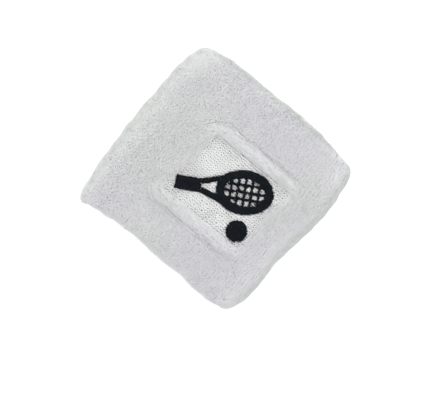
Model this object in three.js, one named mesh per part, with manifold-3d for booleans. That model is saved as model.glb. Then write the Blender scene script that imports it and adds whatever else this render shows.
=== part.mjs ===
// A sweat wristband lying flat: one terry tube, folded double so that its two ends meet in a hidden seam
// on the skin side, with an embroidered mark in a window where the knit has no pile.
// X runs across the band as it lies flat, Y along the arm, Z up. Millimetres.
import * as THREE from "three";
import { mergeVertices } from "three/addons/utils/BufferGeometryUtils.js";
import Module from "manifold-3d";

const wasm = await Module();
wasm.setup();

// The band as it lies.
const WIDTH = 79;
const LENGTH = 78;
const HEIGHT = 18.4;
const BACK_WIDENING = 0.035; // the back cuff is wider than the middle by this share, the front one narrower

// The layers of one wall, from the outside in. Touching layers keep a small gap.
const GAP = 0.25;
const OUTER_PILE = 1.8;
const GROUND = 0.5;
const HOLLOW = 1.8;
const LINING_PILE = 1.5;
const OUTER_GROUND_AT = OUTER_PILE + GAP;
const HOLLOW_AT = OUTER_GROUND_AT + GROUND;
const LINING_GROUND_AT = HOLLOW_AT + HOLLOW;
const LINING_PILE_AT = LINING_GROUND_AT + GROUND + GAP;
const WALL = LINING_PILE_AT + LINING_PILE;

// The fold at each cuff.
const FOLD_REACH = 5;
const FOLD_STEPS = 6;
const FOLD_Y = LENGTH / 2 - FOLD_REACH;

// The seam that joins the two ends of the tube, inside the front cuff.
const SEAM_Y = -26;
const SEAM_PILE_OPENING = 2.4;
const SEAM_THREAD_RADIUS = 0.2;
const SEAM_ZIGZAG = 0.7;
const SEAM_STITCHES = 32;
const NEEDLE_THREAD_AT = LINING_GROUND_AT + GROUND + GAP + SEAM_THREAD_RADIUS;
const UPPER_LOOPER_AT = NEEDLE_THREAD_AT + 2 * SEAM_THREAD_RADIUS + GAP;
const LOWER_LOOPER_AT = LINING_GROUND_AT - GAP - SEAM_THREAD_RADIUS;

// The elastic yarn laid behind each ground knit, wound round and round.
const ELASTIC_RADIUS = 0.22;
const ELASTIC_PITCH = 8.5;
const ELASTIC_END = 32;
const OUTER_ELASTIC_AT = HOLLOW_AT + 0.2 + ELASTIC_RADIUS;
const LINING_ELASTIC_AT = LINING_GROUND_AT - 0.2 - ELASTIC_RADIUS;

// The window in the pile, and the raised welt of pile round it.
const WINDOW_CENTRE = new THREE.Vector2(5, -1.8);
const WINDOW_WIDTH = 39.6;
const WINDOW_HEIGHT = 30.4;
const WINDOW_CORNER = 4;
const PANEL_THICKNESS = 0.5;
const PANEL_AT = OUTER_PILE - PANEL_THICKNESS;
const WELT_WIDTH = 4;
const WELT_RISE = 0.7;

// The embroidery: top stitches over the window, backing and bobbin stitches behind the ground knit.
const STITCH_THICKNESS = 0.5;
const STITCH_SPACING = 0.3;
const STITCHES_AT = PANEL_AT - GAP - STITCH_THICKNESS;
const BACKING_THICKNESS = 0.15;
const BACKING_MARGIN = 1.5;
const BACKING_AT = OUTER_ELASTIC_AT + ELASTIC_RADIUS + 0.15;
const BOBBIN_THICKNESS = 0.15;
const BOBBIN_INSET = 0.6;
const BOBBIN_AT = BACKING_AT + BACKING_THICKNESS + 0.1;

// The mark: a racket, lying along MARK_TURN, and a ball. "Along" runs from its grip to its head.
const MARK_TURN = Math.PI / 6;
const HEAD_ALONG = 7.4;
const HEAD_LENGTH = 22.6;
const HEAD_WIDTH = 17.4;
const HEAD_STROKE = 3.5;
const HEAD_CURVE_STEPS = 36;
const STRING_WIDTH = 1.1;
const STRING_PITCH = 2.7;
const GRIP_ALONG = [-19.6, -9.4];
const GRIP_WIDTH = 5.6;
const THROAT_STROKE = 2.5;
const THROAT_SPREAD = 4.6; // across, from the racket's middle to each side of the throat at the head
const BALL_CENTRE = new THREE.Vector2(13.4, -9.8);
const BALL_RADIUS = 4.3;

// Round parts of the lying band take a third of the turn each and flat walls a sixth, so that the
// bends are smooth and the flats have few faces.
const TURN_SEGMENTS = 36;
const FLAT_SHARE = 1 / 6;
const BEND_RADIUS = HEIGHT / 2;
const FLAT_HALF = WIDTH / 2 - BEND_RADIUS;
const ROUND_RADIUS = WIDTH / 2; // of the round tube that the lathe turns, before it is laid flat

const SECTION = [
  { share: FLAT_SHARE, curve: new THREE.LineCurve(at(-FLAT_HALF, 0), at(FLAT_HALF, 0)) },
  { share: 0.5 - FLAT_SHARE, curve: bend(FLAT_HALF, -Math.PI / 2) },
  { share: FLAT_SHARE, curve: new THREE.LineCurve(at(FLAT_HALF, HEIGHT), at(-FLAT_HALF, HEIGHT)) },
  { share: 0.5 - FLAT_SHARE, curve: bend(-FLAT_HALF, Math.PI / 2) },
];

const COLOURS = { cotton: 0xe9eaee, knit: 0xdfe2e4, elastic: 0xd8d2c4, thread: 0x14181d, backing: 0xf2f2f0 };
const MATERIALS = Object.fromEntries(
  Object.entries(COLOURS).map(([name, color]) => [
    name,
    new THREE.MeshStandardMaterial({ color, roughness: name === "thread" ? 0.6 : 0.95, metalness: 0 }),
  ]),
);

const band = new THREE.Group();

function at(x, y) {
  return new THREE.Vector2(x, y);
}

// One half-circle side of the lying band, from startAngle through half a turn.
function bend(x, startAngle) {
  return new THREE.EllipseCurve(x, BEND_RADIUS, BEND_RADIUS, BEND_RADIUS, startAngle, startAngle + Math.PI);
}

// Where a point of the band lies: turn is its share of the way round, depth how far it is below the outside.
function lyingPoint(turn, depth, y) {
  let rest = turn - Math.floor(turn);
  let part = SECTION[0];
  for (part of SECTION) {
    if (rest <= part.share) break;
    rest -= part.share;
  }
  const t = Math.min(1, rest / part.share);
  const point = part.curve.getPoint(t);
  const along = part.curve.getTangent(t);
  const inward = at(-along.y, along.x);
  point.addScaledVector(inward, depth);
  return new THREE.Vector3(point.x * widening(y), y, point.y);
}

function widening(y) {
  return 1 + (BACK_WIDENING * y) / (LENGTH / 2);
}

// Lays a lathe-turned tube flat. The lathe's own u coordinate is the share of the turn.
function layFlat(geometry, shiftY = () => 0) {
  const position = geometry.getAttribute("position");
  const uv = geometry.getAttribute("uv");
  for (let i = 0; i < position.count; i++) {
    const turn = uv.getX(i);
    const depth = ROUND_RADIUS - Math.hypot(position.getX(i), position.getZ(i));
    const p = lyingPoint(turn, depth, position.getY(i) + shiftY(turn));
    position.setXYZ(i, p.x, p.y, p.z);
  }
  return geometry;
}

// A tube round the band from its section, a closed outline of [depth, y] points.
function tube(outline, segments = TURN_SEGMENTS, shiftY) {
  const points = [...outline, outline[0]].map(([depth, y]) => at(ROUND_RADIUS - depth, y));
  return layFlat(new THREE.LatheGeometry(points.reverse(), segments), shiftY);
}

// The half ellipse that a layer makes at a cuff's fold, from one depth to another.
function fold(fromDepth, toDepth, reach, side) {
  const middle = (fromDepth + toDepth) / 2;
  const half = (fromDepth - toDepth) / 2;
  return Array.from({ length: FOLD_STEPS + 1 }, (_, i) => {
    const angle = (Math.PI * i) / FOLD_STEPS;
    return [middle + half * Math.cos(angle), side * (FOLD_Y + reach * Math.sin(angle))];
  });
}

// A layer that covers the outside and turns over both cuffs: outer and inner are {shallow, deep, reach}.
function foldedLayer(outer, inner) {
  return tube([
    ...fold(outer.deep, outer.shallow, outer.reach, -1),
    ...fold(outer.shallow, outer.deep, outer.reach, 1),
    ...fold(inner.deep, inner.shallow, inner.reach, 1),
    ...fold(inner.shallow, inner.deep, inner.reach, -1),
  ]);
}

// A layer of the lining between two places along the arm.
function liningLayer(depth, thickness, fromY, toY) {
  return tube([
    [depth + thickness, fromY],
    [depth, fromY],
    [depth, toY],
    [depth + thickness, toY],
  ]);
}

// A thread that runs round the band at one depth, waving to and fro along the arm.
function threadRing(depth, y, radius, zigzag) {
  const sides = 5;
  const outline = Array.from({ length: sides }, (_, i) => {
    const angle = (-2 * Math.PI * i) / sides;
    return [depth + radius * Math.cos(angle), y + radius * Math.sin(angle)];
  });
  const segments = zigzag ? 4 * SEAM_STITCHES : TURN_SEGMENTS;
  return tube(outline, segments, (turn) => zigzag * Math.sin(2 * Math.PI * SEAM_STITCHES * turn));
}

// The course of the elastic yarn: it climbs one pitch in each turn.
class WoundCourse extends THREE.Curve {
  constructor(fromY, toY, depth) {
    super();
    this.fromY = fromY;
    this.toY = toY;
    this.depth = depth;
  }

  getPoint(t) {
    const y = THREE.MathUtils.lerp(this.fromY, this.toY, t);
    return lyingPoint(y / ELASTIC_PITCH, this.depth, y);
  }

  // Steps stay evenly spaced in turn, which puts most of them on the bends.
  getUtoTmapping(u) {
    return u;
  }
}

function yarn(course) {
  const sides = 6;
  const turns = (course.toY - course.fromY) / ELASTIC_PITCH;
  const section = Array.from({ length: sides }, (_, i) => {
    const angle = (2 * Math.PI * i) / sides;
    return at(ELASTIC_RADIUS * Math.cos(angle), ELASTIC_RADIUS * Math.sin(angle));
  });
  return new THREE.ExtrudeGeometry(new THREE.Shape(section), {
    steps: Math.round(turns * TURN_SEGMENTS * 0.6),
    extrudePath: course,
    bevelEnabled: false,
  });
}

// A rectangle with round corners, centred on the window.
function roundedRectangle(width, height, corner) {
  const [w, h] = [width / 2 - corner, height / 2 - corner];
  return new THREE.Shape()
    .absarc(w, -h, corner, -Math.PI / 2, 0)
    .absarc(w, h, corner, 0, Math.PI / 2)
    .absarc(-w, h, corner, Math.PI / 2, Math.PI)
    .absarc(-w, -h, corner, Math.PI, 1.5 * Math.PI);
}

// A drawn shape as a flat region that manifold-3d can join, cut and extrude.
function region(shape, curveSegments = 5) {
  const loops = shape.getPoints(curveSegments).map((p) => [p.x, p.y]);
  return new wasm.CrossSection([loops], "NonZero").simplify(0.01);
}

// A plate in the top wall over the window's centre, from one depth below the top to a deeper one.
function plate(flat, topDepth, bottomDepth) {
  const solid = wasm.Manifold.extrude(flat, bottomDepth - topDepth);
  return solid.translate(WINDOW_CENTRE.x, WINDOW_CENTRE.y, HEIGHT - bottomDepth);
}

function toSolid(geometry) {
  const plain = geometry.clone();
  plain.deleteAttribute("normal");
  plain.deleteAttribute("uv");
  const merged = mergeVertices(plain, 1e-3);
  return new wasm.Manifold(
    new wasm.Mesh({
      numProp: 3,
      vertProperties: merged.getAttribute("position").array,
      triVerts: new Uint32Array(merged.index.array),
    }),
  );
}

function toGeometry(solid) {
  const mesh = solid.getMesh();
  return new THREE.BufferGeometry()
    .setAttribute("position", new THREE.BufferAttribute(mesh.vertProperties, 3))
    .setIndex(new THREE.BufferAttribute(mesh.triVerts, 1));
}

function piece(name, geometry, material) {
  const mesh = new THREE.Mesh(geometry, material);
  mesh.name = name;
  band.add(mesh);
}

// The raised welt of pile round the window: a low ridge with sloping sides.
function windowWelt() {
  const steps = [
    [0, 0],
    [WELT_WIDTH * 0.22, WELT_RISE],
    [WELT_WIDTH * 0.78, WELT_RISE],
    [WELT_WIDTH, 0],
  ];
  const loops = steps.map(([out, rise]) =>
    roundedRectangle(WINDOW_WIDTH + 2 * out, WINDOW_HEIGHT + 2 * out, WINDOW_CORNER + out)
      .getPoints(5)
      .map((p) => [p.x + WINDOW_CENTRE.x, p.y + WINDOW_CENTRE.y, HEIGHT + rise]),
  );
  const root = HEIGHT - OUTER_PILE / 2;
  const under = (loop) => loop.map(([x, y]) => [x, y, root]);
  return loft([...loops, under(loops[3]), under(loops[0])]);
}

// A closed ring through a list of loops with the same number of points.
function loft(loops) {
  const count = loops[0].length;
  const corner = (loop, i) => loops[loop % loops.length][i % count];
  const triangles = [];
  for (let k = 0; k < loops.length; k++) {
    for (let i = 0; i < count; i++) {
      const [a, b, c, d] = [corner(k, i), corner(k, i + 1), corner(k + 1, i + 1), corner(k + 1, i)];
      triangles.push(a, c, b, a, d, c);
    }
  }
  const position = new THREE.Float32BufferAttribute(triangles.flat(), 3);
  return new THREE.BufferGeometry().setAttribute("position", position);
}

function addTerry() {
  const skin = { shallow: 0, deep: WALL, reach: FOLD_REACH };
  const back = { shallow: OUTER_PILE, deep: LINING_PILE_AT, reach: FOLD_REACH - OUTER_PILE };
  const window = region(roundedRectangle(WINDOW_WIDTH, WINDOW_HEIGHT, WINDOW_CORNER));
  const opening = plate(window, -2 * WELT_RISE, OUTER_PILE + GAP / 2);
  const pile = toSolid(foldedLayer(skin, back)).add(toSolid(windowWelt())).subtract(opening);
  piece("outer_terry_pile", toGeometry(pile), MATERIALS.cotton);

  const seamFront = SEAM_Y - SEAM_PILE_OPENING / 2;
  const seamBack = SEAM_Y + SEAM_PILE_OPENING / 2;
  const front = liningLayer(LINING_PILE_AT, LINING_PILE, -FOLD_Y + GAP, seamFront);
  const rear = liningLayer(LINING_PILE_AT, LINING_PILE, seamBack, FOLD_Y - GAP);
  piece("lining_terry_pile_front", front, MATERIALS.cotton);
  piece("lining_terry_pile_back", rear, MATERIALS.cotton);
}

function addGroundKnit() {
  const reach = FOLD_REACH - OUTER_PILE - GAP;
  const pileSide = { shallow: OUTER_GROUND_AT, deep: LINING_GROUND_AT + GROUND, reach };
  const hollowSide = { shallow: HOLLOW_AT, deep: LINING_GROUND_AT, reach: reach - GROUND };
  piece("outer_ground_knit", foldedLayer(pileSide, hollowSide), MATERIALS.knit);

  const front = liningLayer(LINING_GROUND_AT, GROUND, -FOLD_Y + GAP, SEAM_Y - GAP / 2);
  const rear = liningLayer(LINING_GROUND_AT, GROUND, SEAM_Y + GAP / 2, FOLD_Y - GAP);
  piece("lining_ground_knit_front", front, MATERIALS.knit);
  piece("lining_ground_knit_back", rear, MATERIALS.knit);
}

function addElastic() {
  const outer = new WoundCourse(-ELASTIC_END, ELASTIC_END, OUTER_ELASTIC_AT);
  const lining = new WoundCourse(SEAM_Y + ELASTIC_PITCH / 2, ELASTIC_END, LINING_ELASTIC_AT);
  piece("outer_elastic_yarn", yarn(outer), MATERIALS.elastic);
  piece("lining_elastic_yarn", yarn(lining), MATERIALS.elastic);
}

function addSeam() {
  const ring = (name, depth, zigzag) =>
    piece(name, threadRing(depth, SEAM_Y, SEAM_THREAD_RADIUS, zigzag), MATERIALS.backing);
  ring("seam_needle_thread", NEEDLE_THREAD_AT, 0);
  ring("seam_upper_looper_thread", UPPER_LOOPER_AT, SEAM_ZIGZAG);
  ring("seam_lower_looper_thread", LOWER_LOOPER_AT, -SEAM_ZIGZAG);
}

function addWindow() {
  const margin = 2 * GAP;
  const panel = roundedRectangle(WINDOW_WIDTH - margin, WINDOW_HEIGHT - margin, WINDOW_CORNER - GAP);
  const knit = plate(region(panel), PANEL_AT, PANEL_AT + PANEL_THICKNESS);
  piece("window_knit_panel", toGeometry(knit), MATERIALS.knit);

  const grow = 2 * BACKING_MARGIN;
  const backing = roundedRectangle(WINDOW_WIDTH + grow, WINDOW_HEIGHT + grow, WINDOW_CORNER + BACKING_MARGIN);
  const sheet = plate(region(backing), BACKING_AT, BACKING_AT + BACKING_THICKNESS);
  piece("embroidery_backing", toGeometry(sheet), MATERIALS.backing);
}

// A flat shape drawn along the racket, x running from grip to head, turned to the way the racket lies.
function onRacket(flat) {
  return flat.rotate(THREE.MathUtils.radToDeg(MARK_TURN));
}

function bar(along0, along1, across0, across1) {
  return wasm.CrossSection.ofPolygons([
    [
      [along0, across0],
      [along1, across0],
      [along1, across1],
      [along0, across1],
    ],
  ]);
}

// The oval of the racket's head, drawn in by an inset.
function headOval(inset) {
  const [a, b] = [HEAD_LENGTH / 2 - inset, HEAD_WIDTH / 2 - inset];
  return region(new THREE.Shape().absellipse(HEAD_ALONG, 0, a, b, 0, 2 * Math.PI), HEAD_CURVE_STEPS);
}

function headRing(inset) {
  return headOval(inset).subtract(headOval(HEAD_STROKE - inset));
}

// One side of the racket's throat, from the head to the grip. side is 1 or -1 across the racket.
function throatBar(side, inset) {
  const half = THROAT_STROKE / 2 - inset;
  const inHead = HEAD_ALONG - HEAD_LENGTH / 2 + HEAD_STROKE;
  const [headAcross, gripAcross] = [side * THROAT_SPREAD, side * (GRIP_WIDTH - THROAT_STROKE) / 2];
  const whole = wasm.CrossSection.ofPolygons([
    [
      [GRIP_ALONG[1] + STITCH_SPACING, gripAcross - half],
      [inHead, headAcross - half],
      [inHead, headAcross + half],
      [GRIP_ALONG[1] + STITCH_SPACING, gripAcross + half],
    ],
  ]);
  return whole.subtract(headOval(-STITCH_SPACING));
}

function gripBar(inset) {
  const half = GRIP_WIDTH / 2 - inset;
  return bar(GRIP_ALONG[0] + inset, GRIP_ALONG[1] - inset, -half, half);
}

// Mains and crosses of the string bed, trimmed to an oval just inside the head.
function stringBed() {
  const reach = HEAD_LENGTH / 2;
  const half = STRING_WIDTH / 2;
  const mains = [-1, 0, 1].map((k) => {
    const across = k * STRING_PITCH;
    return bar(HEAD_ALONG - reach, HEAD_ALONG + reach, across - half, across + half);
  });
  const crosses = [-2, -1, 0, 1, 2].map((k) => {
    const along = HEAD_ALONG + k * STRING_PITCH;
    return bar(along - half, along + half, -reach, reach);
  });
  const strings = [...mains, ...crosses].reduce((all, one) => all.add(one));
  return strings.intersect(headOval(HEAD_STROKE + STITCH_SPACING));
}

function ball(inset) {
  const circle = new THREE.Shape().absarc(BALL_CENTRE.x, BALL_CENTRE.y, BALL_RADIUS - inset, 0, 2 * Math.PI);
  return region(circle, 9);
}

function addMark() {
  const stitched = (name, flat) => {
    const solid = plate(flat.simplify(0.01), STITCHES_AT, STITCHES_AT + STITCH_THICKNESS);
    piece(name, toGeometry(solid), MATERIALS.thread);
  };
  stitched("stitching_racket_head", onRacket(headRing(0)));
  stitched("stitching_racket_strings", onRacket(stringBed()));
  stitched("stitching_racket_throat_left", onRacket(throatBar(1, 0)));
  stitched("stitching_racket_throat_right", onRacket(throatBar(-1, 0)));
  stitched("stitching_racket_grip", onRacket(gripBar(0)));
  stitched("stitching_ball", ball(0));
}

// The bobbin stitches lie behind the backing, a little inside the outline of the top stitches.
function addBobbin() {
  const stitched = (name, flat) => {
    const solid = plate(flat, BOBBIN_AT, BOBBIN_AT + BOBBIN_THICKNESS);
    piece(name, toGeometry(solid), MATERIALS.backing);
  };
  stitched("bobbin_stitching_head", onRacket(headRing(BOBBIN_INSET)));
  stitched("bobbin_stitching_grip", onRacket(gripBar(BOBBIN_INSET)));
  stitched("bobbin_stitching_ball", ball(BOBBIN_INSET));
}

addTerry();
addGroundKnit();
addElastic();
addSeam();
addWindow();
addMark();
addBobbin();

export default band;
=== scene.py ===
"""A sweat wristband lying flat: looped terry over a tube folded double, a plain-knit window with a raised
welt of pile round it, and black stitching. Lengths are in millimetres until a mesh is made.
"""

import math

import bpy
import numpy as np
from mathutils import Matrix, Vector


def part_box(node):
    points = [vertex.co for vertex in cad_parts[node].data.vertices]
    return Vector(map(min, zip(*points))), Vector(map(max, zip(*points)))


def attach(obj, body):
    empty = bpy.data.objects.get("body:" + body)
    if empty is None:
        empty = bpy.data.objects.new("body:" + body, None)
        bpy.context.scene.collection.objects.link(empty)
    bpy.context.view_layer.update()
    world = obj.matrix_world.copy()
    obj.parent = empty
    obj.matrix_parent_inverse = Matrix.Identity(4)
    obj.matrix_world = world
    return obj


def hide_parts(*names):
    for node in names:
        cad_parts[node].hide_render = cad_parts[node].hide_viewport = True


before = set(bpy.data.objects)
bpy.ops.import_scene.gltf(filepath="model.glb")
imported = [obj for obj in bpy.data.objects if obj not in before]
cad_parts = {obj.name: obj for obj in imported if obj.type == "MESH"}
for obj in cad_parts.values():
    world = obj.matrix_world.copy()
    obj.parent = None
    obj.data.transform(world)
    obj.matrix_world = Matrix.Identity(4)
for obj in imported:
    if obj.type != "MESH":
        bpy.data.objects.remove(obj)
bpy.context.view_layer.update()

MM = 0.001
rng = np.random.default_rng(24)


def cad_box_mm(node):
    low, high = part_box(node)
    return np.array(low) / MM, np.array(high) / MM


# The band's sizes, some of them read from its solids.
PILE_LOW, PILE_HIGH = cad_box_mm("outer_terry_pile")
KNIT_LOW, KNIT_HIGH = cad_box_mm("outer_ground_knit")
PANEL_LOW, PANEL_HIGH = cad_box_mm("window_knit_panel")
LENGTH = PILE_HIGH[1] - PILE_LOW[1]
HEIGHT = KNIT_LOW[2] + KNIT_HIGH[2]
WIDTH = 79
WALL = 6.6
SIDE_RADIUS = HEIGHT / 2
FLAT_HALF = WIDTH / 2 - SIDE_RADIUS
SIDE_FULLNESS = 2.6  # 2 makes the outline of a side a half circle, and more makes it squarer
BACK_WIDENING = 0.035  # the back cuff is wider than the middle by this share, the front one narrower
FOLD_REACH = 5
FOLD_Y = LENGTH / 2 - FOLD_REACH
SEAM_Y = -26
SEAM_GAP = 2.4
GIRTH = 160  # round the terry tube, midway between its outside and its lining
OUTSIDE_GIRTH = 178

# The root of the pile: its depth below the outside, and below the skin side.
ROOT = 1.2
LINING_ROOT = 1.1

# The loops of the pile.
WALES = 330
COURSE_PITCH = 0.38
FLAT_SHARE = 0.335  # of the wales, that lie in each flat wall
MISSED = 0.02  # share of the loops pressed down out of sight
SCATTER = 0.22  # of a loop from its place, in wales and courses
LOOP_SIZE = (1.05, 0.38, 0.24)  # a loop's height, width and yarn radius
LOOP_TONE = (0.82, 1)
LOOP_SPREAD = (1.5, 0.6)  # of the loops' directions, in tangled pile and in rows
FINE, PLAIN, COARSE = (5, 4), (5, 3), (4, 3)  # a loop's rings and sides

# The rows that loops gather into, and the small pits between them.
ROWS = 120
GATHERED = 0.22  # how strongly, where the rows show most
ROW_DIP = 0.1
PIT_PITCH = 1.05
PIT_DEPTH = 0.2  # as a share of a loop's height
FLAT_PIT_DEPTH = 0.42  # added to that on the flat walls

# The window in the pile.
WINDOW = (PANEL_LOW + PANEL_HIGH) / 2
WINDOW_HALF = (PANEL_HIGH - PANEL_LOW)[:2] / 2
WINDOW_SHIFT = (1.0, -0.4)  # of the opening in the pile from the middle of the knit
WINDOW_LEAN = 0.1
WINDOW_PINCH = 1.9  # how far its short sides bow in at the middle
WINDOW_SUNK = 1.0
WINDOW_CORNER = 4
PILE_SETBACK = 0.4

# The welt round the window. Each pair is for the window's sides, and for its long edges.
WELT_WIDTH = (2.8, 3.9)
WELT_RISE = (0.15, 1.45)
WELT_DENSITY = (0.1, 1)
WELT_CANDIDATES = 11000
WELT_FADE = (19, 28)  # where it dies away towards the right
GROOVE = (0.05, 0.8)
GROOVE_WIDTH = 2.0
MARKED_DEPTH = 2.6  # layers less deep than this follow the welt

# Where the edges of the band are uneven: place, push and reach of each.
DENTS = [
    ((-39, 39), (3.2, -2.1), 6.6),
    ((-40, -2), (-1.4, 0), 13),
    ((-40, -30), (-1.3, 0), 12),
    ((39, 38), (-1.5, -3.2), 7.5),
    ((24, 40), (0, -0.7), 8),
    ((41, 19), (0.9, 0), 12),
    ((40, 11), (0.9, 0), 6),
    ((39, -11.6), (-0.9, 0), 3.2),
    ((39, -39), (-1.6, 1.8), 5),
    ((22, -39), (0, -0.5), 4),
    ((20, -39), (0, -0.4), 12),
    ((11, -39), (0, 0.7), 3.5),
    ((-12, -39), (0, 1.0), 6.5),
    ((-31, -39.5), (0, -1.6), 4.8),
    ((-35.5, -38.6), (0.3, -2.3), 1.5),
    ((-39, -35), (0.9, 0.5), 5),
    ((20.4, 39), (0, 0.9), 1.2),
    ((-26, -39), (0.4, 0.3), 2),
]


# ---------------------------------------------------------------- shape of the band


def smoothstep(x, low, high):
    t = np.clip((x - low) / (high - low), 0, 1)
    return t * t * (3 - 2 * t)


def waves(x, y, length, seed, count=9):
    """Smooth unevenness about 1 in size, over that length."""
    r = np.random.default_rng(seed)
    angle = r.uniform(0, 2 * math.pi, count)
    phase = r.uniform(0, 2 * math.pi, count)
    number = 2 * math.pi / length * r.uniform(0.6, 1.4, count)
    total = np.zeros_like(x)
    for a, p, k in zip(angle, phase, number):
        total = total + np.sin(k * (x * math.cos(a) + y * math.sin(a)) + p)
    return total / math.sqrt(count / 2)


def side_bend():
    """The outline of a side, fuller than a half circle, at even steps of its length."""
    angle = np.linspace(-math.pi / 2, math.pi / 2, 241)
    x = np.abs(np.cos(angle)) ** (2 / SIDE_FULLNESS)
    z = np.sign(angle) * np.abs(np.sin(angle)) ** (2 / SIDE_FULLNESS)
    length = np.concatenate([[0], np.cumsum(np.hypot(np.diff(x), np.diff(z)))])
    share = length / length[-1]
    return share, x, z


BEND_SHARE, BEND_X, BEND_Z = side_bend()


def section(turn):
    """The band's cross-section: outer points and outward directions in x and z, by share of the turn."""
    side_share = 0.5 - FLAT_SHARE
    t = np.mod(turn, 1)
    right = np.clip((t - FLAT_SHARE) / side_share, 0, 1)
    left = np.clip((t - 0.5 - FLAT_SHARE) / side_share, 0, 1)
    out_x = np.interp(right, BEND_SHARE, BEND_X) - np.interp(left, BEND_SHARE, BEND_X)
    out_z = np.where(t < 0.5, np.interp(right, BEND_SHARE, BEND_Z), -np.interp(left, BEND_SHARE, BEND_Z))
    along = np.clip(t / FLAT_SHARE, 0, 1) - np.clip((t - 0.5) / FLAT_SHARE, 0, 1)
    return FLAT_HALF * (2 * along - 1), out_x, out_z


def cuff_profile(shallow, deep):
    """Depth, y and length along a layer, from the seam round both cuffs and back to the seam."""
    middle = (shallow + deep) / 2
    half = (deep - shallow) / 2
    reach = FOLD_REACH - shallow
    angle = np.linspace(0, math.pi, 40)
    depth = middle + half * np.cos(angle)
    out = FOLD_Y + reach * np.sin(angle)
    flat_y = np.linspace(-FOLD_Y, FOLD_Y, 60)[1:-1]
    depths = np.concatenate([[deep], depth, np.full(flat_y.size, shallow), depth[::-1], [deep]])
    ys = np.concatenate([[SEAM_Y - SEAM_GAP / 2], -out, flat_y, out[::-1], [SEAM_Y + SEAM_GAP / 2]])
    lengths = np.concatenate([[0], np.cumsum(np.hypot(np.diff(depths), np.diff(ys)))])
    return depths, ys, lengths


ROOT_PROFILE = cuff_profile(ROOT, WALL - LINING_ROOT)
TUBE_LENGTH = ROOT_PROFILE[2][-1]
FRONT_LINING = FOLD_Y + SEAM_Y - SEAM_GAP / 2
BACK_LINING = FOLD_Y - SEAM_Y - SEAM_GAP / 2
FOLD_LENGTH = (TUBE_LENGTH - 2 * FOLD_Y - FRONT_LINING - BACK_LINING) / 2
OUTSIDE_START = FRONT_LINING + FOLD_LENGTH
OUTSIDE_END = OUTSIDE_START + 2 * FOLD_Y


def window_distance(x, y):
    """Distance outside the window's edge, negative within it, and how full the welt is there: 1 along the
    long edges, 0 at the sides, and near 0 at the right corners.
    """
    from_middle = y - WINDOW[1] - WINDOW_SHIFT[1]
    away_x = np.abs(x - WINDOW[0] - WINDOW_SHIFT[0] - WINDOW_LEAN * from_middle)
    away_y = np.abs(from_middle)
    pinch = WINDOW_PINCH * (1 - np.clip(away_y / WINDOW_HALF[1], 0, 1) ** 2)
    qx = away_x - (WINDOW_HALF[0] + PILE_SETBACK - pinch - WINDOW_CORNER)
    qy = away_y - (WINDOW_HALF[1] + PILE_SETBACK - WINDOW_CORNER)
    outside = np.hypot(np.maximum(qx, 0), np.maximum(qy, 0))
    distance = outside + np.minimum(np.maximum(qx, qy), 0) - WINDOW_CORNER
    fullness = smoothstep(qy - qx, -7, 2) * (1 - 0.9 * smoothstep(x, *WELT_FADE))
    return distance, fullness


def between(pair, share):
    return pair[0] + (pair[1] - pair[0]) * share


def relief(x, y):
    """Height of the marked wall's pile root over its plane: welt, groove and sunken window."""
    distance, fullness = window_distance(x, y)
    width = between(WELT_WIDTH, fullness) * (1 + 0.11 * waves(x, y, 14, 11))
    rise = between(WELT_RISE, fullness) * (1 + 0.2 * waves(x, y, 11, 5))
    across = np.clip(distance / width, 0, 1)
    welt = rise * np.sin(math.pi * across) * (1.15 - 0.3 * across)
    past = np.clip((distance - width) / GROOVE_WIDTH, 0, 1)
    groove = between(GROOVE, fullness) * np.sin(math.pi * past) ** 2 * (1 + 0.3 * waves(x, y, 14, 13))
    sunk = WINDOW_SUNK * (1 - smoothstep(distance, -0.8, 0.3))
    return welt - groove - sunk


def warp(x, y, z):
    """Unevenness of the lying band: pushed-in edges, and walls that swell and sink a little."""
    share = np.clip(z / HEIGHT, 0, 1)
    dx = np.zeros_like(x)
    dy = np.zeros_like(x)
    for (cx, cy), (push_x, push_y), reach in DENTS:
        weight = np.exp(-((x - cx) ** 2 + (y - cy) ** 2) / (2 * reach**2))
        dx = dx + push_x * weight
        dy = dy + push_y * weight
    edge = smoothstep(np.maximum(np.abs(x) / 40, np.abs(y) / 39), 0.8, 1)
    dx = dx + 0.16 * edge * waves(x, y, 9, 1)
    dy = dy + 0.16 * edge * waves(x, y, 9, 2)
    dz = share * (0.3 * waves(x, y, 30, 3) + 0.1 * waves(x, y, 8, 4))
    return x + dx, y + dy, z + dz


def lay(turn, depth, y):
    """Points of the lying band, by share of the turn round it, depth below its outside, and y."""
    centre_x, out_x, out_z = section(turn)
    radius = SIDE_RADIUS - depth
    x = (centre_x + radius * out_x) * (1 + BACK_WIDENING * y / (LENGTH / 2))
    z = SIDE_RADIUS + radius * out_z
    top_outside = (depth < MARKED_DEPTH) & (z > SIDE_RADIUS) & (np.abs(y) < FOLD_Y)
    z = z + np.where(top_outside, relief(x, y), 0)
    x, y, z = warp(x, y, z)
    return np.stack([x, y, z], axis=-1)


def layer(turn, along, profile=ROOT_PROFILE):
    """Points of a layer, by share of the turn and length along the tube from the seam."""
    depths, ys, lengths = profile
    return lay(turn, np.interp(along, lengths, depths), np.interp(along, lengths, ys))


def unit(v):
    return v / np.maximum(np.linalg.norm(v, axis=-1, keepdims=True), 1e-9)


def layer_frames(turn, along, profile=ROOT_PROFILE):
    """Points of a layer with the unit directions round the band, along the tube and outwards."""
    step_turn = 1e-3
    step_along = 0.15
    point = layer(turn, along, profile)
    round_band = unit(layer(turn + step_turn, along, profile) - layer(turn - step_turn, along, profile))
    low = np.maximum(along - step_along, 0)
    high = np.minimum(along + step_along, profile[2][-1])
    along_tube = unit(layer(turn, high, profile) - layer(turn, low, profile))
    outward = unit(np.cross(along_tube, round_band))
    return point, round_band, np.cross(round_band, outward), outward


def marked_wall(x, y, depth):
    """Points of the marked wall, by place across and along it and depth below its outside."""
    return np.stack(warp(x, y, HEIGHT - depth), axis=-1)


# ---------------------------------------------------------------- meshes


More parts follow.
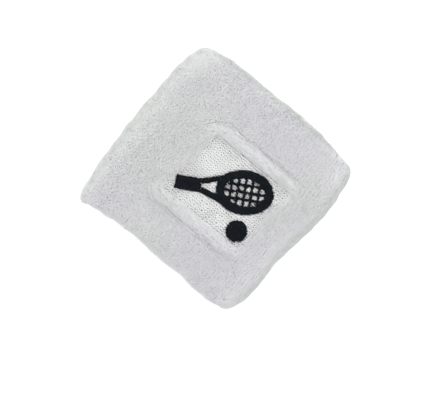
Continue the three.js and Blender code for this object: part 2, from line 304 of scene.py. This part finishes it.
def make_object(name, points, quads, uv, material, tone=None):
    """A smooth object of four-cornered faces. Its UV map, one place per face corner, is for baking."""
    mesh = bpy.data.meshes.new(name)
    mesh.vertices.add(len(points))
    mesh.vertices.foreach_set("co", (points * MM).astype(np.float32).ravel())
    mesh.loops.add(quads.size)
    mesh.loops.foreach_set("vertex_index", quads.astype(np.int32).ravel())
    mesh.polygons.add(len(quads))
    mesh.polygons.foreach_set("loop_start", np.arange(0, quads.size, 4, dtype=np.int32))
    mesh.polygons.foreach_set("use_smooth", np.ones(len(quads), dtype=bool))
    mesh.update(calc_edges=True)
    places = mesh.uv_layers.new(name="OFBake")
    places.uv.foreach_set("vector", uv.astype(np.float32).ravel())
    if tone is not None:
        values = mesh.attributes.new("tone", "FLOAT", "POINT")
        values.data.foreach_set("value", tone.astype(np.float32))
    mesh.materials.append(material)
    obj = bpy.data.objects.new(name, mesh)
    bpy.context.scene.collection.objects.link(obj)
    return obj


def atlas(count, rings, sides):
    """UV places that give each of count tubes its own cell of the map."""
    columns = math.ceil(math.sqrt(count))
    cell = np.arange(count)
    corner = np.stack([cell % columns, cell // columns], axis=-1)[:, None, None, None, :]
    ring = np.arange(rings - 1)[None, :, None]
    side = np.arange(sides)[None, None, :]
    ring, side = np.broadcast_arrays(ring, side)
    rings_of = np.stack([ring, ring, ring + 1, ring + 1], axis=-1) / (rings - 1)
    sides_of = np.stack([side, side + 1, side + 1, side], axis=-1) / sides
    inside = 0.06 + 0.88 * np.stack([rings_of, sides_of], axis=-1)
    return (corner + inside) / columns


def tubes(paths, across, radius, sides, squash=1.0):
    """Tubes along paths (count, rings, 3), flattened by squash at right angles to the direction across."""
    count, rings, _ = paths.shape
    ahead = unit(np.gradient(paths, axis=1))
    across = np.broadcast_to(across, paths.shape)
    up = unit(np.cross(ahead, across))
    side = unit(np.cross(up, ahead))
    angle = 2 * math.pi * np.arange(sides) / sides + math.pi / sides
    radius = np.broadcast_to(radius, (count, rings))[:, :, None, None]
    ring = side[:, :, None] * np.cos(angle)[:, None] + squash * up[:, :, None] * np.sin(angle)[:, None]
    points = paths[:, :, None] + radius * ring
    number = np.arange(count * rings * sides).reshape(count, rings, sides)
    following = np.roll(number, -1, axis=2)
    quads = np.stack([number[:, :-1], following[:, :-1], following[:, 1:], number[:, 1:]], axis=-1)
    return points.reshape(-1, 3), quads.reshape(-1, 4), atlas(count, rings, sides)


def pressed_down(turn, along, z, order):
    """Share of its height that each loop loses, between the rows and in small pits."""
    between_rows = 0.5 - 0.5 * np.cos(row_phase(turn, along))
    course_phase = 2 * math.pi * along / PIT_PITCH + waves(turn * GIRTH, along, 7, 14)
    between_courses = 0.5 - 0.5 * np.cos(course_phase)
    on_flat = smoothstep(np.abs(z - SIDE_RADIUS), SIDE_RADIUS - 3, SIDE_RADIUS - 1.4)
    uneven = np.clip(0.6 + 0.5 * waves(turn * GIRTH, along, 3, 15), 0, 1)
    pits = uneven * (PIT_DEPTH + FLAT_PIT_DEPTH * on_flat) * (between_rows * between_courses) ** 1.5
    return ROW_DIP * order * between_rows + pits


def pile_loops(name, turn, along, material, detail, order):
    """Terry loops rooted at those places. Order is 0 for tangled pile and 1 for pile in clear rows."""
    rings, sides = detail
    count = turn.size
    height, width, radius = LOOP_SIZE
    point, round_band, along_tube, outward = layer_frames(turn, along)
    heading = rng.normal(0.5, 1, count) * between(LOOP_SPREAD, order) + math.pi / 2
    direction = round_band * np.cos(heading)[:, None] + along_tube * np.sin(heading)[:, None]
    aside = np.cross(outward, direction)
    pressed = pressed_down(turn, along, point[:, 2], order)
    height = height * rng.uniform(0.85, 1.15, count) * (1 - pressed)
    width = width * rng.uniform(0.75, 1.2, count)
    lean = rng.normal(0, 0.12, (count, 2))
    curl = rng.normal(0, 0.08, count)
    t = np.linspace(0, 1, rings)
    arch = np.sin(math.pi * t) ** 0.75
    stretch = -np.cos(math.pi * t) * (0.75 + 0.5 * np.sin(math.pi * t))
    path = (
        point[:, None]
        + direction[:, None] * (width / 2)[:, None, None] * stretch[:, None]
        + outward[:, None] * (height[:, None] * arch - 0.15)[:, :, None]
        + direction[:, None] * (lean[:, :1] * arch)[:, :, None]
        + aside[:, None] * (lean[:, 1:] * arch)[:, :, None]
        + aside[:, None] * (curl[:, None] * np.sin(2 * math.pi * t))[:, :, None]
    )
    thick = radius * rng.uniform(0.85, 1.15, count)[:, None] * (0.75 + 0.25 * arch)
    points, quads, uv = tubes(path, aside[:, None], thick, sides)
    points[:, 2] = np.maximum(points[:, 2], 0.0)
    # Each loop's tone is random, times painted shade that darkens the loops pressed down in the pits and
    # between the rows.
    tone = np.repeat(rng.uniform(*LOOP_TONE, count) * (1.02 - 0.25 * pressed), rings * sides)
    return make_object(name, points, quads, uv, material, tone)


def terry_sites(turn_range, along_range, wales, pitch):
    """Places of the loops between two shares of the turn and two lengths along the tube."""
    turns = np.arange(wales) / wales
    courses = np.arange(0.4, TUBE_LENGTH - 0.3, pitch)
    low, high = turn_range
    turns = turns[np.mod(turns - low, 1) < high - low]
    courses = courses[(courses >= along_range[0]) & (courses < along_range[1])]
    turn, along = np.meshgrid(turns, courses)
    turn, along = turn.ravel(), along.ravel()
    rows = rows_show(layer(turn, along)[:, 0])
    gathered = GATHERED * rows * np.sin(row_phase(turn, along)) / (2 * math.pi * ROWS)
    turn = turn - gathered
    loose = 1 - 0.5 * rows
    turn = turn + loose * rng.normal(0, SCATTER, turn.size) / wales
    along = along + loose * rng.normal(0, SCATTER, turn.size) * pitch
    return turn, np.clip(along, 0.1, TUBE_LENGTH - 0.1)


def row_phase(turn, along):
    """Angle through the rows of gathered loops, which wander a little."""
    return 2 * math.pi * ROWS * turn + 0.9 * waves(turn * GIRTH, along, 9, 12)


def rows_show(x):
    """How clearly the rows of loops show: most towards the band's right side."""
    return 0.3 + 0.7 * smoothstep(x, 8, 28)


# ---------------------------------------------------------------- materials


class Nodes:
    """A material's node tree, built by name."""

    def __init__(self, name):
        self.material = bpy.data.materials.new(name)
        self.material.use_nodes = True
        self.tree = self.material.node_tree
        self.surface = self.tree.nodes["Principled BSDF"]

    def add(self, kind, settings=None, **inputs):
        node = self.tree.nodes.new(kind)
        for key, value in (settings or {}).items():
            setattr(node, key, value)
        for key, value in inputs.items():
            self.put(node.inputs[key.replace("_", " ")], value)
        return node

    def put(self, socket, value):
        if isinstance(value, bpy.types.NodeSocket):
            self.tree.links.new(value, socket)
        else:
            socket.default_value = value

    def place(self):
        return self.add("ShaderNodeTexCoord").outputs["Object"]

    def noise(self, scale, detail=2.0, roughness=0.5):
        place = self.place()
        node = self.add("ShaderNodeTexNoise", Vector=place, Scale=scale, Detail=detail, Roughness=roughness)
        return node.outputs["Fac"]

    def remap(self, value, low, high, to_low=0.0, to_high=1.0):
        node = self.add("ShaderNodeMapRange", {"interpolation_type": "SMOOTHSTEP"}, Value=value)
        ends = {"From Min": low, "From Max": high, "To Min": to_low, "To Max": to_high}
        for key, number in ends.items():
            node.inputs[key].default_value = number
        return node.outputs["Result"]

    def mix(self, share, a, b, blend="MIX"):
        node = self.add("ShaderNodeMix", {"data_type": "RGBA", "blend_type": blend})
        self.put(node.inputs[0], share)
        self.put(node.inputs[6], a)
        self.put(node.inputs[7], b)
        return node.outputs[2]

    def math(self, operation, a, b=0.0):
        node = self.add("ShaderNodeMath", {"operation": operation})
        self.put(node.inputs[0], a)
        self.put(node.inputs[1], b)
        return node.outputs[0]

    def attribute(self, name):
        return self.add("ShaderNodeAttribute", {"attribute_name": name}).outputs["Fac"]

    def bump(self, height, distance, strength=1.0):
        node = self.add("ShaderNodeBump", Height=height, Distance=distance, Strength=strength)
        self.put(self.surface.inputs["Normal"], node.outputs["Normal"])

    def finish(self, colour, roughness, sheen=0.0, specular=0.3):
        self.put(self.surface.inputs["Base Color"], colour)
        self.put(self.surface.inputs["Roughness"], roughness)
        self.surface.inputs["Sheen Weight"].default_value = sheen
        self.surface.inputs["Sheen Roughness"].default_value = 0.5
        self.surface.inputs["Specular IOR Level"].default_value = specular
        return self.material


def colour(r, g, b):
    return (r, g, b, 1.0)


# Where the terry takes the painted shade of its rims, below its top and on the back cuff's fold, in metres.
SHADED_RIM_TOP = (0.0155, 0.0173)
SHADED_RIM_FRONT = (-0.037, -0.031)
SHADED_RIM_BACK = (0.0352, 0.0368)


def terry_material(name, lilac, grey, rim_shade, pale):
    """Cotton loops: a cool cast on the flat of the band, painted shade round its rims where they fall away
    from the light, paler tufts.
    """
    n = Nodes(name)
    axes = n.add("ShaderNodeSeparateXYZ", Vector=n.place())
    drift = n.remap(n.noise(26.0), 0.35, 0.65)
    cast = n.mix(drift, grey, lilac)
    # Painted shade on the rims: greyer below the top, less so towards the front cuff, and on the back
    # cuff's fold.
    below_top_shade = n.remap(axes.outputs["Z"], *SHADED_RIM_TOP, 1.0, 0.0)
    below_top_shade = n.math("MULTIPLY", below_top_shade, n.remap(axes.outputs["Y"], *SHADED_RIM_FRONT, 0.2, 1.0))
    back_fold_shade = n.remap(axes.outputs["Y"], *SHADED_RIM_BACK)
    cast = n.mix(n.math("MAXIMUM", below_top_shade, back_fold_shade), cast, rim_shade)
    tufts = n.remap(n.noise(480.0, 3.0), 0.42, 0.7)
    cast = n.mix(n.math("MULTIPLY", tufts, 0.35), cast, pale)
    # The tone attribute scales the colour: a random tone per loop, with painted shade on pressed-down loops
    # and on the pile's root between them.
    tone = n.remap(n.attribute("tone"), 0.0, 1.0, 0.45, 1.0)
    shaded = n.add("ShaderNodeVectorMath", {"operation": "SCALE"})
    n.put(shaded.inputs[0], cast)
    n.put(shaded.inputs["Scale"], tone)
    fibres = n.noise(5200.0, 4.0, 0.7)
    n.bump(fibres, 0.00009, 0.6)
    rough = n.remap(n.noise(900.0), 0.3, 0.7, 0.86, 0.98)
    return n.finish(shaded.outputs[0], rough, sheen=0.15, specular=0.15)


def knit_material(name, light, dark):
    """Plain cotton knit."""
    n = Nodes(name)
    drift = n.remap(n.noise(160.0, 3.0), 0.35, 0.65)
    cast = n.mix(drift, light, dark)
    fibres = n.noise(6000.0, 4.0, 0.7)
    n.bump(fibres, 0.00008, 0.6)
    rough = n.remap(n.noise(900.0), 0.3, 0.7, 0.84, 0.96)
    return n.finish(cast, rough, sheen=0.1, specular=0.15)


def thread_material(name, dark, light, roughness, sheen):
    """Spun thread: fine twist across each thread, and a little change from thread to thread."""
    n = Nodes(name)
    drift = n.remap(n.noise(700.0, 3.0), 0.3, 0.7)
    tone = n.math("MULTIPLY", drift, n.remap(n.attribute("tone"), 0.0, 1.0, 0.3, 1.0))
    cast = n.mix(tone, dark, light)
    twist = n.noise(9000.0, 3.0, 0.6)
    n.bump(twist, 0.00006, 0.7)
    rough = n.remap(n.noise(1500.0), 0.3, 0.7, roughness - 0.08, roughness + 0.08)
    return n.finish(cast, rough, sheen=sheen, specular=0.06)


def felt_material(name, light, dark):
    """Pressed non-woven fibres."""
    n = Nodes(name)
    cast = n.mix(n.remap(n.noise(1400.0, 5.0, 0.7), 0.35, 0.65), light, dark)
    n.bump(n.noise(2600.0, 5.0, 0.75), 0.0001, 0.8)
    rough = n.remap(n.noise(700.0), 0.3, 0.7, 0.85, 0.97)
    return n.finish(cast, rough, specular=0.1)


def ribbed_knit_material(name, light, dark, pitch):
    """The wales of a ground knit, as ribs along the arm, with painted shade in the grooves between them."""
    n = Nodes(name)
    axes = n.add("ShaderNodeSeparateXYZ", Vector=n.place())
    ribs = n.math("SINE", n.math("MULTIPLY", axes.outputs["X"], 2 * math.pi / pitch))
    # Painted shade: darker where the ribs are low.
    cast = n.mix(n.remap(ribs, -1.0, 1.0), dark, light)
    n.bump(ribs, 0.0001, 0.8)
    rough = n.remap(n.noise(900.0), 0.3, 0.7, 0.85, 0.97)
    return n.finish(cast, rough, specular=0.15)


TERRY = terry_material(
    "cotton_terry",
    lilac=colour(0.62, 0.615, 0.64),
    grey=colour(0.61, 0.615, 0.615),
    rim_shade=colour(0.52, 0.54, 0.525),
    pale=colour(0.70, 0.70, 0.70),
)
LINING = terry_material(
    "cotton_terry_lining",
    lilac=colour(0.76, 0.76, 0.77),
    grey=colour(0.75, 0.755, 0.75),
    rim_shade=colour(0.74, 0.745, 0.74),
    pale=colour(0.82, 0.82, 0.82),
)
WINDOW_KNIT = knit_material("window_knit", colour(0.72, 0.725, 0.725), colour(0.62, 0.625, 0.625))
BLACK_THREAD = thread_material(
    "embroidery_thread", colour(0.0036, 0.0052, 0.007), colour(0.0068, 0.0092, 0.0115), 0.75, 0.0
)
WHITE_THREAD = thread_material("white_thread", colour(0.6, 0.6, 0.6), colour(0.74, 0.74, 0.74), 0.75, 0.05)
ELASTIC = thread_material("elastic_yarn", colour(0.5, 0.48, 0.43), colour(0.66, 0.63, 0.57), 0.7, 0.05)
BACKING = felt_material("embroidery_backing", colour(0.78, 0.78, 0.77), colour(0.66, 0.66, 0.65))
GROUND_KNIT = ribbed_knit_material(
    "ground_knit", colour(0.68, 0.69, 0.69), colour(0.52, 0.53, 0.53), pitch=0.00125
)


# ---------------------------------------------------------------- the terry tube


def fabric_tube(name, profile, thickness, knobs, material, tone):
    """A fabric of the tube: one closed shell from the seam round both cuffs and back to the seam."""
    around, steps = 240, 150
    turn, along = np.meshgrid(np.arange(around) / around, np.linspace(0, profile[2][-1], steps))
    point, _, _, outward = layer_frames(turn, along, profile)
    arc = turn * OUTSIDE_GIRTH
    rough = knobs * (waves(arc, along, 1.9, 6) + 0.7 * waves(arc, along, 1.1, 7))
    outside = point + outward * rough[..., None]
    inside = point - outward * thickness
    rows = 2 * steps
    number = np.arange(rows * around).reshape(rows, around)
    ring = np.concatenate([number[:steps], number[steps:][::-1]])
    ahead = np.roll(ring, -1, axis=0)
    quads = np.stack([ring, ahead, np.roll(ahead, -1, axis=1), np.roll(ring, -1, axis=1)], axis=-1)
    row, column = np.meshgrid(np.arange(rows) / rows, np.arange(around) / around, indexing="ij")
    step = np.array([[0, 0], [1 / rows, 0], [1 / rows, 1 / around], [0, 1 / around]])
    uv = np.stack([row, column], axis=-1)[:, :, None, :] + step
    points = np.concatenate([outside, inside]).reshape(-1, 3)
    points[:, 2] = np.maximum(points[:, 2], 0.0)
    # Painted shade in the tone: the root is darkened where it shows between the loops, and darkest under
    # the window's knit so that its holes look dark. In the lining it is left at full tone, painted light
    # that lightens the inside of the tube.
    distance, _ = window_distance(points[:, 0], points[:, 1])
    in_window = (distance < 0) & (points[:, 2] > HEIGHT - 4)
    in_lining = (along < FRONT_LINING) | (along > OUTSIDE_END + FOLD_LENGTH)
    shade = np.where(in_window, 0.0, np.where(np.tile(in_lining.ravel(), 2), 1.0, tone))
    return make_object(name, points, quads.reshape(-1, 4), uv, material, shade)


def wound_yarn(name, depth, from_y, to_y, pitch, radius):
    """Elastic yarn wound round and round between the walls."""
    y = np.linspace(from_y, to_y, int((to_y - from_y) / pitch * 90))
    path = lay(y / pitch, np.full_like(y, depth), y)[None]
    points, quads, uv = tubes(path, np.array([0.0, 1.0, 0.0]), radius, 6)
    return make_object(name, points, quads, uv, ELASTIC, np.full(len(points), 0.5))


def loops_region(name, turn_range, along_range, detail, material=TERRY, wales=WALES, pitch=COURSE_PITCH):
    turn, along = terry_sites(turn_range, along_range, wales, pitch)
    place = layer(turn, along)
    distance, _ = window_distance(place[:, 0], place[:, 1])
    outside = (along > OUTSIDE_START) & (along < OUTSIDE_END)
    in_window = outside & (place[:, 2] > SIDE_RADIUS) & (distance < 0)
    keep = ~in_window & (rng.uniform(0, 1, turn.size) > MISSED)
    turn, along = turn[keep], along[keep]
    order = rows_show(place[keep, 0])
    return pile_loops(name, turn, along, material, detail, order)


def welt_loops():
    """More and taller loops on the welt round the window."""
    x = rng.uniform(-1, 1, WELT_CANDIDATES) * (WINDOW_HALF[0] + 6) + WINDOW[0]
    y = rng.uniform(-1, 1, WELT_CANDIDATES) * (WINDOW_HALF[1] + 6) + WINDOW[1]
    distance, fullness = window_distance(x, y)
    to_foot = smoothstep(distance / between(WELT_WIDTH, fullness), 0.55, 1.05)
    density = between(WELT_DENSITY, fullness) * (1 - to_foot)
    on_welt = (distance > 0) & (rng.uniform(0, 1, WELT_CANDIDATES) < density)
    x, y = x[on_welt], y[on_welt]
    plain_x = x / (1 + BACK_WIDENING * y / (LENGTH / 2))
    turn = 0.5 + FLAT_SHARE * (FLAT_HALF - plain_x) / (2 * FLAT_HALF)
    along = OUTSIDE_START + (y + FOLD_Y)
    return pile_loops("welt_loops", turn, along, TERRY, FINE, np.zeros(x.size))


# Its tone of 0.5 is painted shade on the pile's root between the loops.
tube = fabric_tube("terry_tube", ROOT_PROFILE, thickness=0.5, knobs=0.1, material=TERRY, tone=0.5)
ALL_ROUND = (0.0, 1.0)
UNDERSIDE = (0.0, FLAT_SHARE)
OUTSIDE = (OUTSIDE_START, OUTSIDE_END)
FRONT_CUFF = (FRONT_LINING, OUTSIDE_START)
BACK_CUFF = (OUTSIDE_END, OUTSIDE_END + FOLD_LENGTH)
SKIN_SIDE_FRONT = (0.0, FRONT_LINING)
SKIN_SIDE_BACK = (BACK_CUFF[1], TUBE_LENGTH)
SIDES = {
    "top": (0.5, 0.5 + FLAT_SHARE),
    "left": (0.5 + FLAT_SHARE, 1.0),
    "right": (FLAT_SHARE, 0.5),
}
THIRDS = np.linspace(OUTSIDE_START, OUTSIDE_END, 4)
terry_pieces = [
    loops_region("pile_loops_underside", UNDERSIDE, OUTSIDE, COARSE, wales=260, pitch=0.55),
    loops_region("pile_loops_front_cuff_under", (0.0, 0.5), FRONT_CUFF, FINE),
    loops_region("pile_loops_front_cuff_over", (0.5, 1.0), FRONT_CUFF, FINE),
    loops_region("pile_loops_back_cuff_under", (0.0, 0.5), BACK_CUFF, FINE),
    loops_region("pile_loops_back_cuff_over", (0.5, 1.0), BACK_CUFF, FINE),
    loops_region("lining_loops_front", ALL_ROUND, SKIN_SIDE_FRONT, PLAIN, LINING, wales=240, pitch=0.8),
    loops_region("lining_loops_back", ALL_ROUND, SKIN_SIDE_BACK, COARSE, LINING, wales=200, pitch=1.1),
    welt_loops(),
]
for side, turns in SIDES.items():
    for part, start, end in zip(("front", "middle", "back"), THIRDS, THIRDS[1:]):
        terry_pieces.append(loops_region(f"pile_loops_{side}_{part}", turns, (start, end), FINE))

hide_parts("outer_terry_pile", "lining_terry_pile_front", "lining_terry_pile_back")
for piece in [tube, *terry_pieces]:
    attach(piece, "root")


# ---------------------------------------------------------------- the window's plain knit


def window_knit():
    """Courses of knitted yarn across the window: each course is one yarn that loops through the next."""
    wale, course, yarn = 1.5, 1.06, 0.235
    depth = 1.43
    steps = 14
    half = WINDOW_HALF + (3.5, 2)
    stitches = round(2 * half[0] / wale)
    courses = int(2 * half[1] / course)
    t = np.linspace(0, 2 * math.pi * stitches, stitches * steps + 1)
    x = WINDOW[0] - half[0] + t / (2 * math.pi) * wale + 0.2 * wale * np.sin(2 * t)
    row_y = WINDOW[1] - half[1] + (np.arange(courses) + 0.5) * course
    x, y = np.broadcast_arrays(x[None], row_y[:, None])
    loop_y = y + 0.62 * course * np.cos(t)[None]
    loop_z = 0.17 * np.cos(2 * t)[None]
    sag = 0.13 * waves(x, y, 3, 8)
    x = x + 0.12 * waves(x, y, 2.2, 9)
    loop_y = loop_y + 0.1 * waves(x, y, 2.6, 10)
    paths = marked_wall(x, loop_y, depth + sag - loop_z)
    distance, _ = window_distance(x, y)
    paths[..., 2] -= 0.9 * smoothstep(distance, -0.2, 0.9)
    points, quads, uv = tubes(paths, np.array([0.0, 0.0, 1.0]), yarn, 5)
    tone = np.repeat(rng.uniform(0, 1, courses), points.shape[0] // courses)
    return make_object("window_knit", points, quads, uv, WINDOW_KNIT, tone)


knit = window_knit()
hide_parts("window_knit_panel")
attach(knit, "root")


# ---------------------------------------------------------------- the embroidery

MARK_TURN = math.pi / 6
HEAD_ALONG = 7.4
HEAD_LENGTH = 22.6
HEAD_WIDTH = 17.4
HEAD_STROKE = 3.5
STRING_WIDTH = 1.1
STRING_PITCH = 2.7
GRIP_ALONG = (-19.6, -9.4)
GRIP_WIDTH = 5.6
THROAT_STROKE = 2.5
THROAT_SPREAD = 4.6
STITCH_LAP = 0.45  # of neighbouring fields of stitches
BALL_CENTRE = (13.4, -9.8)
BALL_RADIUS = 4.3
SATIN_PITCH = 0.3
SATIN_DEPTH = 0.62
SATIN_RAGGED = 0.22
UNDERLAY_PITCH = 0.4
UNDERLAY_DEPTH = 0.95
UNDERLAY_RAGGED = 0.05
UNDERLAY_INSET = 0.35
THREAD_RADIUS = 0.215
THREAD_RINGS, THREAD_SIDES = 9, 6
DRAWN_IN = 0.36  # how much shorter every third stitch is at each end
STITCH_OVERLAP = 0.25
LONGEST_STITCH, SHORTEST_STITCH = 6.5, 0.3
STAGGER = 1.1  # of the needle holes, from row to row


def racket_place(x, y):
    """Place along the racket, from its grip to its head, and across it."""
    c, s = math.cos(MARK_TURN), math.sin(MARK_TURN)
    return x * c + y * s, y * c - x * s


def head_measure(along, across, inset):
    a = HEAD_LENGTH / 2 - inset
    b = HEAD_WIDTH / 2 - inset
    return ((along - HEAD_ALONG) / a) ** 2 + (across / b) ** 2


def in_head(x, y):
    along, across = racket_place(x, y)
    return (head_measure(along, across, 0) < 1) & (head_measure(along, across, HEAD_STROKE) > 1)


def in_strings(x, y):
    along, across = racket_place(x, y)
    in_oval = head_measure(along, across, HEAD_STROKE - STITCH_LAP) < 1
    main = np.abs(across - STRING_PITCH * np.clip(np.round(across / STRING_PITCH), -1, 1))
    from_middle = along - HEAD_ALONG
    cross = np.abs(from_middle - STRING_PITCH * np.clip(np.round(from_middle / STRING_PITCH), -2, 2))
    return in_oval & ((main < STRING_WIDTH / 2) | (cross < STRING_WIDTH / 2))


def in_throat(side):
    def inside(x, y):
        along, across = racket_place(x, y)
        start = GRIP_ALONG[1] - STITCH_LAP
        end = HEAD_ALONG - HEAD_LENGTH / 2 + HEAD_STROKE
        share = (along - start) / (end - start)
        middle = side * ((GRIP_WIDTH - THROAT_STROKE) / 2 * (1 - share) + THROAT_SPREAD * share)
        clear = head_measure(along, across, STITCH_LAP) > 1
        return (share > 0) & (share < 1) & clear & (np.abs(across - middle) < THROAT_STROKE / 2)

    return inside


def in_grip(x, y):
    along, across = racket_place(x, y)
    return (along > GRIP_ALONG[0]) & (along < GRIP_ALONG[1]) & (np.abs(across) < GRIP_WIDTH / 2)


def in_ball(x, y):
    return np.hypot(x - BALL_CENTRE[0], y - BALL_CENTRE[1]) < BALL_RADIUS


def stitch_rows(inside, pitch, inset, turned):
    """Start, end and place of each stitch: rows along x, or along y if turned, cut at each needle throw."""
    half_along, half_across = WINDOW_HALF[::-1] if turned else WINDOW_HALF
    along = np.arange(-half_along, half_along, 0.04)
    stitches = []
    for row, across in enumerate(np.arange(-half_across, half_across, pitch)):
        x, y = (np.full_like(along, across), along) if turned else (along, np.full_like(along, across))
        change = np.diff(np.concatenate([[0], inside(x, y).astype(int), [0]]))
        drawn_in = inset + DRAWN_IN * (row % 3 == 0)
        starts = along[np.flatnonzero(change == 1)] + drawn_in
        ends = along[np.flatnonzero(change == -1) - 1] - drawn_in
        for start, end in zip(starts, ends):
            if end - start < SHORTEST_STITCH:
                continue
            cuts = np.linspace(start, end, math.ceil((end - start) / LONGEST_STITCH) + 1)
            cuts[1:-1] += (row % 3 - 1) * STAGGER
            joins = np.full(cuts.size, STITCH_OVERLAP)
            joins[[0, -1]] = 0
            lapped = zip(cuts[:-1] - joins[:-1], cuts[1:] + joins[1:])
            stitches += [(a, b, across) for a, b in lapped]
    return np.array(stitches)


def thread_paths(rows, depth, ragged, turned):
    """Threads that lie side by side and dive into the knit at both ends, and how thick each is along it."""
    count = len(rows)
    start = rows[:, 0] + rng.normal(0, ragged, count)
    end = rows[:, 1] + rng.normal(0, ragged, count)
    t = np.linspace(0, 1, THREAD_RINGS)
    length = (end - start)[:, None]
    along = start[:, None] + length * t
    bow = rng.normal(0, 0.04, count)[:, None] * np.sin(math.pi * t)
    across = rows[:, 2][:, None] + bow + rng.normal(0, 0.03, count)[:, None]
    swell = np.clip(0.05 * length, 0, 0.16) * np.sin(math.pi * t)
    from_end = np.minimum(t, 1 - t) * length
    dive = 0.35 * np.exp(-from_end / 0.2)
    depths = depth - swell + dive + rng.normal(0, 0.03, count)[:, None]
    x, y = (across, along) if turned else (along, across)
    return marked_wall(x + WINDOW[0], y + WINDOW[1], depths), np.clip(0.55 + from_end / 0.5, 0.3, 1)


def stitched(name, inside, node):
    """One field of embroidery: satin threads across it, over crosswise underlay threads."""
    underlay_rows = stitch_rows(inside, UNDERLAY_PITCH, UNDERLAY_INSET, turned=True)
    underlay = thread_paths(underlay_rows, UNDERLAY_DEPTH, UNDERLAY_RAGGED, turned=True)
    satin_rows = stitch_rows(inside, SATIN_PITCH, inset=0.0, turned=False)
    satin = thread_paths(satin_rows, SATIN_DEPTH, SATIN_RAGGED, turned=False)
    threads = []
    for (paths, share), side_way in ((underlay, (1.0, 0.0, 0.0)), (satin, (0.0, 1.0, 0.0))):
        threads.append(tubes(paths, np.array(side_way), THREAD_RADIUS * share, THREAD_SIDES, squash=0.85))
    (low_points, low_quads, low_uv), (high_points, high_quads, high_uv) = threads
    points = np.concatenate([low_points, high_points])
    quads = np.concatenate([low_quads, high_quads + len(low_points)])
    uv = np.concatenate([beside(low_uv, 0), beside(high_uv, 1)])
    per_thread = THREAD_RINGS * THREAD_SIDES
    tone = np.repeat(rng.uniform(0, 1, len(points) // per_thread), per_thread)
    obj = make_object(name, points, quads, uv, BLACK_THREAD, tone)
    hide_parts(node)
    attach(obj, "root")


def beside(uv, place):
    """The UV map squeezed into the left or right half."""
    return uv.reshape(-1, 2) * (0.5, 1.0) + (0.5 * place, 0.0)


stitched("racket_head_stitches", in_head, "stitching_racket_head")
stitched("racket_string_stitches", in_strings, "stitching_racket_strings")
stitched("racket_throat_left_stitches", in_throat(1), "stitching_racket_throat_left")
stitched("racket_throat_right_stitches", in_throat(-1), "stitching_racket_throat_right")
stitched("racket_grip_stitches", in_grip, "stitching_racket_grip")
stitched("ball_stitches", in_ball, "stitching_ball")


# ---------------------------------------------------------------- inside the walls

KNIT_DEPTH = KNIT_LOW[2]
KNIT_THICKNESS = 0.5
LINING_KNIT_DEPTH = 4.85
OUTER_ELASTIC_DEPTH = 2.97
LINING_ELASTIC_DEPTH = 3.93
ELASTIC_PITCH = 8.5
ELASTIC_RADIUS = 0.22
ELASTIC_END = 32

knit_profile = cuff_profile(KNIT_DEPTH, LINING_KNIT_DEPTH)
ground = fabric_tube(
    "ground_knit_tube", knit_profile, KNIT_THICKNESS, knobs=0.02, material=GROUND_KNIT, tone=0.8
)
outer_elastic = wound_yarn(
    "elastic_yarn_outer", OUTER_ELASTIC_DEPTH, -ELASTIC_END, ELASTIC_END, ELASTIC_PITCH, ELASTIC_RADIUS
)
lining_start = SEAM_Y + ELASTIC_PITCH / 2
lining_elastic = wound_yarn(
    "elastic_yarn_lining", LINING_ELASTIC_DEPTH, lining_start, ELASTIC_END, ELASTIC_PITCH, ELASTIC_RADIUS
)
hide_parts("outer_ground_knit", "lining_ground_knit_front", "lining_ground_knit_back")
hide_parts("outer_elastic_yarn")
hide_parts("lining_elastic_yarn")
for piece, slot in (
    (ground, "ground_knit"),
    (outer_elastic, "elastic_yarn"),
    (lining_elastic, "elastic_yarn"),
):
    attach(piece, "root")

# These keep their solids.
CARRIED_OVER = {
    "seam_needle_thread": WHITE_THREAD,
    "seam_upper_looper_thread": WHITE_THREAD,
    "seam_lower_looper_thread": WHITE_THREAD,
    "embroidery_backing": BACKING,
    "bobbin_stitching_head": WHITE_THREAD,
    "bobbin_stitching_grip": WHITE_THREAD,
    "bobbin_stitching_ball": WHITE_THREAD,
}
for name, material in CARRIED_OVER.items():
    for material_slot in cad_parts[name].material_slots:
        material_slot.material = material


# ---------------------------------------------------------------- floor, light and camera


def floor():
    mesh = bpy.data.meshes.new("floor")
    half = 1.5
    corners = [(-half, -half, 0), (half, -half, 0), (half, half, 0), (-half, half, 0)]
    mesh.from_pydata(corners, [], [(0, 1, 2, 3)])
    n = Nodes("floor_paper")
    n.finish(colour(0.9, 0.9, 0.9), 0.9)
    n.surface.inputs["Emission Color"].default_value = colour(1.0, 1.0, 1.0)
    n.surface.inputs["Emission Strength"].default_value = 0.2
    mesh.materials.append(n.material)
    obj = bpy.data.objects.new("floor", mesh)
    obj.location.z = -0.0003
    bpy.context.scene.collection.objects.link(obj)


def soft_light(name, place, size, watts):
    light = bpy.data.lights.new(name, "AREA")
    light.shape = "DISK"
    light.size = size
    light.energy = watts
    obj = bpy.data.objects.new(name, light)
    obj.location = place
    obj.rotation_euler = Vector(place).to_track_quat("Z", "Y").to_euler()
    obj.visible_camera = False
    bpy.context.scene.collection.objects.link(obj)


def studio():
    world = bpy.data.worlds.new("studio")
    world.use_nodes = True
    background = world.node_tree.nodes["Background"]
    background.inputs["Color"].default_value = colour(1.0, 1.0, 1.0)
    background.inputs["Strength"].default_value = 1.36
    bpy.context.scene.world = world
    soft_light("overhead", place=(-0.12, 0.18, 0.45), size=0.35, watts=1.2)
    bpy.context.scene.view_settings.view_transform = "Standard"


def camera():
    """Straight above, turned so that the arm's direction points up and to the right."""
    turn = math.radians(39.4)
    distance = 0.7
    picture_width = 0.1747
    data = bpy.data.cameras.new("camera")
    data.lens = data.sensor_width * distance / picture_width
    obj = bpy.data.objects.new("camera", data)
    aside, below = 0.0021, -0.0098
    x = aside * math.cos(turn) - below * math.sin(turn)
    y = aside * math.sin(turn) + below * math.cos(turn)
    obj.location = (x, y, HEIGHT / 2 * MM + distance)
    obj.rotation_euler = (0.0, 0.0, turn)
    bpy.context.scene.collection.objects.link(obj)
    bpy.context.scene.camera = obj


floor()
studio()
camera()
